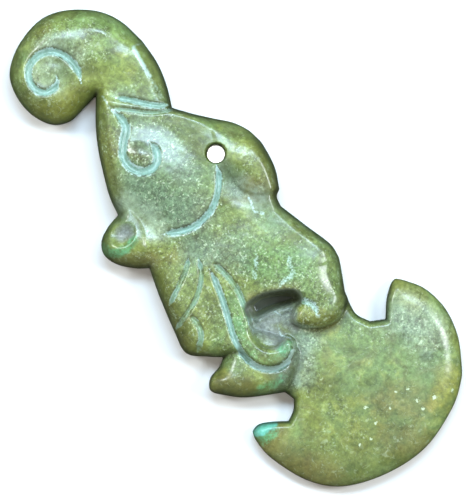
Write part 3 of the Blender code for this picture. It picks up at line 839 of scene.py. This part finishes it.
def between(value, low, high):
    """0 up to low and 1 from high on, smoothly."""
    return Shade.node("ShaderNodeMapRange", {"interpolation_type": "SMOOTHSTEP"},
                      {"Value": value, "From Min": low, "From Max": high})


def laid(cover, under, over, how="MIX"):
    """One colour over another, as far as it covers."""
    return Shade.node("ShaderNodeMix", {"data_type": "RGBA", "blend_type": how},
                      {0: cover, 6: under, 7: over}, 2)


stone_places = Shade.node("ShaderNodeTexCoord", {}, {}, "Object")


def clouds(size, detail=3.0, roughness=0.55, distortion=0.0, across=(0, 0, 0)):
    """Soft noise whose patches are about the given size in millimetres."""
    moved = Shade.node("ShaderNodeVectorMath", {"operation": "ADD"}, {0: stone_places, 1: across})
    return Shade.node("ShaderNodeTexNoise", {}, {
        "Vector": moved, "Scale": 1000 / size, "Detail": detail, "Roughness": roughness,
        "Distortion": distortion})


def carried(name):
    return Shade.node("ShaderNodeAttribute", {"attribute_name": name}, {}, "Fac")


olive = picked(124, 136, 66)
dark_olive = picked(88, 100, 44)
light_olive = picked(148, 160, 84)
cool_olive = picked(116, 140, 84)
ash_grey = picked(84, 106, 94)
honey_yellow = picked(146, 142, 56)
russet_brown = picked(120, 102, 62)
leaf_green = picked(102, 146, 86)
dark_tone_and_shade_olive = picked(84, 88, 36)
malachite_green = picked(86, 152, 104)
turquoise_blue = picked(106, 196, 172)
pit_grey = picked(132, 140, 138)
deep_shade = picked(44, 54, 38)
painted_slot_shade = picked(112, 120, 100)
painted_slot_floor_shade = picked(56, 68, 56)
fleck_white = picked(206, 222, 184)
bloom_and_sheen_grey = picked(164, 184, 162)

large = clouds(11.0, 2.0, 0.5, 0.5)
middling = clouds(2.6, 4.0, 0.6, 0.4, (0.03, 0.01, 0.0))
grain = clouds(0.7, 3.0, 0.65, 0.0, (0.0, 0.04, 0.0))
fine = clouds(0.32, 2.0, 0.6, 0.0, (0.02, 0.0, 0.0))

body = laid(between(large, 0.36, 0.60), olive, cool_olive)
body = laid(0.7 * between(clouds(4.2, 3.0, 0.55, 0.5, (0.01, 0.06, 0.0)), 0.44, 0.66), body, dark_olive)
body = laid(0.5 * between(middling, 0.48, 0.70), body, light_olive)
body = laid(0.3 * between(clouds(6.0, 3.0, 0.6, 0.8, (0.05, 0.02, 0.0)), 0.52, 0.70), body, russet_brown)


def ragged(name, low=0.15, high=1.05):
    """A stain's cover with an uneven edge."""
    return between(carried(name) + 1.1 * middling + 0.4 * grain - 0.75, low, high)


# The darker olive and the deep shade colours here also paint shade, as said with their strokes.
stain_colours = [
    ("leaf", 0.6, leaf_green), ("honey", 0.6, honey_yellow), ("russet", 0.6, russet_brown),
    ("dark_tone_and_shade", 0.7, dark_tone_and_shade_olive), ("ash", 0.65, ash_grey), ("pit", 0.85, pit_grey),
    ("shade", 0.55, deep_shade),
]
for stain, strength, colour in stain_colours:
    body = laid(strength * ragged(stain), body, colour)
body = laid(0.8 * ragged("malachite", 0.25, 0.95) * between(grain + fine, 0.6, 1.1), body, malachite_green)
body = laid(ragged("turquoise", 0.2, 0.6), body, turquoise_blue)

# Grain, flecks and scratches
# The stone is finely mottled. Burial left it dusted with pale flecks, thickest on the head and the
# body, and with a few hair scratches and bright specks on the blade.
body = laid(0.22, body, between(middling, 0.28, 0.72), "OVERLAY")
body = laid(0.28, body, between(grain, 0.25, 0.75), "OVERLAY")
body = laid(0.10, body, between(fine, 0.25, 0.75), "OVERLAY")


def specks(size, least, across):
    """Uneven specks: the peaks of a fine noise."""
    return between(clouds(size, 1.0, 0.5, 0.0, across), least, least + 0.05)


def hairs(size, thickness, share, across):
    """Hair lines: the thin contours of a soft noise, broken up by another."""
    soft = clouds(size, 2.0, 0.5, 1.0, across)
    off_contour = abs(soft - 0.5)
    broken = between(clouds(0.45 * size, 2.0, 0.5, 0.0, across[::-1]), 1 - share, 1.05 - share)
    return broken * (1 - between(off_contour, 0.4 * thickness, thickness))


clusters = clouds(1.9, 3.0, 0.65, 0.5, (0.0, 0.0, 0.03))
dusted = between(carried("dusty") + 2.2 * clusters - 1.1, 0.1, 1.3)
small_flecks = specks(0.34, 0.58, (0.0, 0.02, 0.0)) * between(clusters + 0.8 * grain, 0.80, 1.05)
large_flecks = specks(1.0, 0.685, (0.01, 0.02, 0.03))
scratches = hairs(3.0, 0.014, 0.46, (0.02, 0.05, 0.01)) + hairs(1.7, 0.02, 0.42, (0.06, 0.01, 0.03))
under_flecks = picked(84, 110, 76)
body = laid(0.55 * dusted * between(middling + 0.6 * grain, 0.70, 1.00), body, under_flecks)
# Pale bloom, partly a painted sheen.
body = laid(0.38 * between(carried("bloom_and_sheen") + 1.2 * middling + grain, 1.15, 2.3), body, bloom_and_sheen_grey)
body = laid(0.52 * dusted * small_flecks, body, fleck_white)
body = laid(0.34 * dusted, body, between(fine + grain, 0.72, 1.28), "OVERLAY")
body = laid(0.38 * (0.25 + 0.75 * dusted) * large_flecks, body, fleck_white)
body = laid(0.16 * scratches, body, fleck_white)

pale_specks = [
    (0.26, (7.1, -40.1)), (0.2, (-1.8, -33.8)), (0.2, (4.8, -38.5)), (0.2, (4.6, -40.1)),
    (0.18, (0.8, -36.6)), (0.16, (-2.3, -36.7)), (0.18, (1.4, -40.8)), (0.16, (-4.5, -38.0)),
    (0.16, (-6.4, -37.5)), (0.18, (3.3, -35.3)), (0.16, (5.0, -36.2)), (0.2, (10.0, -41.1)),
]
flat_places = Shade.node("ShaderNodeVectorMath", {"operation": "MULTIPLY"}, {0: stone_places, 1: (1, 1, 0)})
for speck_radius, (speck_x, speck_y) in pale_specks:
    speck_place = (speck_x * drawn_mm, speck_y * drawn_mm, 0)
    off_speck = Shade.node("ShaderNodeVectorMath", {"operation": "DISTANCE"},
                           {0: flat_places, 1: speck_place}, "Value")
    reach = speck_radius * drawn_mm
    off_speck = off_speck + 5.0 * reach * (fine + grain - 1.0)
    body = laid(0.85 * (1 - between(off_speck, 0.6 * reach, 1.3 * reach)), body, fleck_white)

# Earth in the grooves, and painted shade
# Pale earth fills the grooves. The paler band along their edges is partly earth and partly a painted
# highlight on their shoulders. Painted shade darkens the corners at the foot of walls, the deep slot,
# a band beside each groove, the rim and the steep sides.
groove_earth = picked(150, 188, 176)
groove_green = picked(160, 208, 186)
groove_edge = picked(196, 226, 220)
groove_floor = picked(96, 126, 108)
groove = carried("groove")
torn = groove + 0.7 * (fine - 0.5) + 0.9 * (grain - 0.5)
in_groove = between(torn, 0.40, 1.05)
on_edge = between(torn, 0.3, 0.6) * (1 - between(torn, 0.75, 1.15))
down_middle = between(torn, 1.05, 1.5)
# Painted shade in a band beside the grooves.
body = laid(0.6 * carried("painted_groove_shade"), body, deep_shade)
earth_cover = between(middling + 0.5 * grain + 0.4 * carried("filled"), 0.5, 1.05)
earth = laid(carried("filled"), groove_green, groove_earth)
earth = laid(0.65 * between(middling + 0.8 * grain, 0.76, 1.10), earth, groove_floor)
body = laid(0.85 * in_groove * earth_cover, body, earth)
body = laid(0.35 * down_middle * between(clusters + 0.4 * fine, 0.62, 0.85), body, groove_floor)
# The paler groove edges: partly earth, partly a painted highlight on the grooves' shoulders.
edge_cover = (0.35 + 0.35 * carried("filled")) * on_edge
body = laid(edge_cover * between(middling + clusters + 0.5 * fine, 1.10, 1.45), body, groove_edge)
# Pale chalk marks, and one painted highlight at the collar's end.
body = laid(0.7 * between(carried("chalk_and_glint") + 1.6 * grain + fine, 1.9, 2.6), body, groove_edge)
# Painted highlight along the stem's facet edge.
body = laid(0.65 * between(carried("painted_edge_glint") + 1.2 * grain + 0.4 * fine, 1.0, 1.9), body, groove_edge)
# Painted shade in the corners at the foot of walls.
body = laid(0.25 * carried("painted_corner_shade"), body, deep_shade)
# Painted shade in the deep slot: a grey olive over it, and dark on its floor.
body = laid(0.8 * between(carried("slot"), 0.1, 0.6), body, painted_slot_shade)
body = laid(0.95 * carried("slot floor"), body, painted_slot_floor_shade)
# Painted shade towards the outline.
body = laid(0.25 * carried("rim"), body, dark_olive)
# Painted shade on the steep sides near the outline.
body = laid(0.75 * carried("side"), body, deep_shade)

jade_tree.links.new(body.socket, jade_shader.inputs["Base Color"])
rough = 0.38 + 0.20 * grain + 0.10 * in_groove + 0.25 * ragged("pit") + 0.10 * dusted
jade_tree.links.new(rough.socket, jade_shader.inputs["Roughness"])
pits = specks(1.4, 0.70, (0.04, 0.0, 0.02))
relief = 0.6 * grain + 0.4 * fine + middling - 0.9 * pits + 1.6 * grain * ragged("pit") - 0.4 * scratches
bumped = Shade.node("ShaderNodeBump", {}, {"Strength": 0.6, "Distance": 0.00007, "Height": relief})
jade_tree.links.new(bumped.socket, jade_shader.inputs["Normal"])
coat = 0.45 + 1.1 * fine - 1.1 * carried("side") - 0.5 * ragged("pit") + 0.2 * dusted
jade_tree.links.new(coat.socket, jade_shader.inputs["Coat Weight"])
jade_shader.inputs["Coat Roughness"].default_value = 0.26
jade_shader.inputs["IOR"].default_value = 1.55
jade_shader.inputs["Specular IOR Level"].default_value = 0.32
jade_shader.inputs["Subsurface Weight"].default_value = 0.12
jade_shader.inputs["Subsurface Radius"].default_value = (0.7, 1.0, 0.5)
jade_shader.inputs["Subsurface Scale"].default_value = 0.0012
drilled.materials.clear()
drilled.materials.append(jade)

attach(pendant, "root")
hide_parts("axe_pendant")

# Floor
# A wide sheet of pale matt paper under the pendant. It takes the pendant's soft shadow, and the
# polished stone doesn't mirror it.
floor_half = 1.0
floor_mesh = bpy.data.meshes.new("floor")
floor_z = low.z
floor_mesh.from_pydata([(-floor_half, -floor_half, floor_z), (floor_half, -floor_half, floor_z),
                        (floor_half, floor_half, floor_z), (-floor_half, floor_half, floor_z)],
                       [], [(0, 1, 2, 3)])
floor = linked("floor", floor_mesh)
paper = bpy.data.materials.new("white paper")
paper.use_nodes = True
paper.node_tree.nodes["Principled BSDF"].inputs["Base Color"].default_value = (0.86, 0.86, 0.85, 1)
paper.node_tree.nodes["Principled BSDF"].inputs["Roughness"].default_value = 0.9
floor_mesh.materials.append(paper)
floor.visible_glossy = False

# Camera and light
# The camera looks straight down on the pendant, whose length leans over to the left in the picture.
# Three softboxes draw the highlights, a weak sun and the room's light fill the rest, and a narrow
# beam lights the paper under the cord's hole.
photo_size = (466, 497)
photo_origin = (225.91, 240.71)
photo_pixel = 0.15579
lean = math.radians(47.0)
camera_distance = 0.6
sensor = 36.0
picture_up = Vector((math.cos(lean), math.sin(lean), 0))
picture_right = Vector((math.sin(lean), -math.cos(lean), 0))
off_right = (photo_size[0] / 2 - photo_origin[0]) * photo_pixel * drawn_mm
off_down = (photo_size[1] / 2 - photo_origin[1]) * photo_pixel * drawn_mm
aim = picture_right * off_right - picture_up * off_down
camera_data = bpy.data.cameras.new("camera")
camera_data.sensor_width = sensor
camera_data.lens = sensor * (camera_distance - high.z / 2) / (photo_size[1] * photo_pixel * drawn_mm)
camera = linked("camera", camera_data)
turned = Matrix((picture_right, picture_up, Vector((0, 0, 1)))).transposed()
camera.matrix_world = Matrix.Translation(aim + Vector((0, 0, camera_distance))) @ turned.to_4x4()
bpy.context.scene.camera = camera


def softbox(name, direction, distance, wide, tall, power, colour):
    lamp = bpy.data.lights.new(name, "AREA")
    lamp.energy = power
    lamp.shape = "RECTANGLE"
    lamp.size = wide
    lamp.size_y = tall
    lamp.color = colour
    box = linked(name, lamp)
    towards = direction.normalized()
    box.location = towards * distance
    box.rotation_mode = "QUATERNION"
    box.rotation_quaternion = (-towards).to_track_quat("-Z", "Y")


upward = Vector((0, 0, 1))
key_blue = (0.64, 0.87, 1.10)
side_blue = (0.88, 0.96, 1.0)
from_above = picture_up * 0.40 + picture_right * 0.05 + upward * 0.91
from_right = picture_right * 0.60 + picture_up * 0.10 + upward * 0.80
from_left = picture_right * -0.62 + picture_up * 0.30 + upward * 0.72
softbox("key light", from_above, 0.32, 0.19, 0.08, 0.90, key_blue)
softbox("right light", from_right, 0.40, 0.09, 0.10, 0.78, side_blue)
softbox("left light", from_left, 0.40, 0.09, 0.09, 0.68, side_blue)
overhead = bpy.data.lights.new("overhead fill", "SUN")
overhead.energy = 0.40
overhead.color = (1.0, 0.91, 0.80)
overhead.angle = math.radians(6)
fill = linked("overhead fill", overhead)
fill.visible_glossy = False
pencil = bpy.data.lights.new("light through the hole", "SPOT")
pencil.energy = 3.0
pencil.spot_size = math.radians(1.0)
pencil.spot_blend = 0.2
pencil.shadow_soft_size = 0.0
beam = linked("light through the hole", pencil)
beam.location = (hole_centre[0] * drawn_mm, hole_centre[1] * drawn_mm, 0.16)
sky_light = 0.36
ground_light = 0.03
world = bpy.data.worlds.new("studio")
world.use_nodes = True
sky = world.node_tree.nodes["Background"]
sky.inputs["Color"].default_value = (1.0, 0.94, 0.88, 1)
whence = world.node_tree.nodes.new("ShaderNodeTexCoord")
split = world.node_tree.nodes.new("ShaderNodeSeparateXYZ")
horizon = world.node_tree.nodes.new("ShaderNodeMapRange")
horizon.inputs["From Min"].default_value = -0.1
horizon.inputs["From Max"].default_value = 0.35
horizon.inputs["To Min"].default_value = ground_light
horizon.inputs["To Max"].default_value = sky_light
world.node_tree.links.new(whence.outputs["Generated"], split.inputs["Vector"])
world.node_tree.links.new(split.outputs["Z"], horizon.inputs["Value"])
world.node_tree.links.new(horizon.outputs["Result"], sky.inputs["Strength"])
bpy.context.scene.world = world
bpy.context.scene.view_settings.view_transform = "Standard"
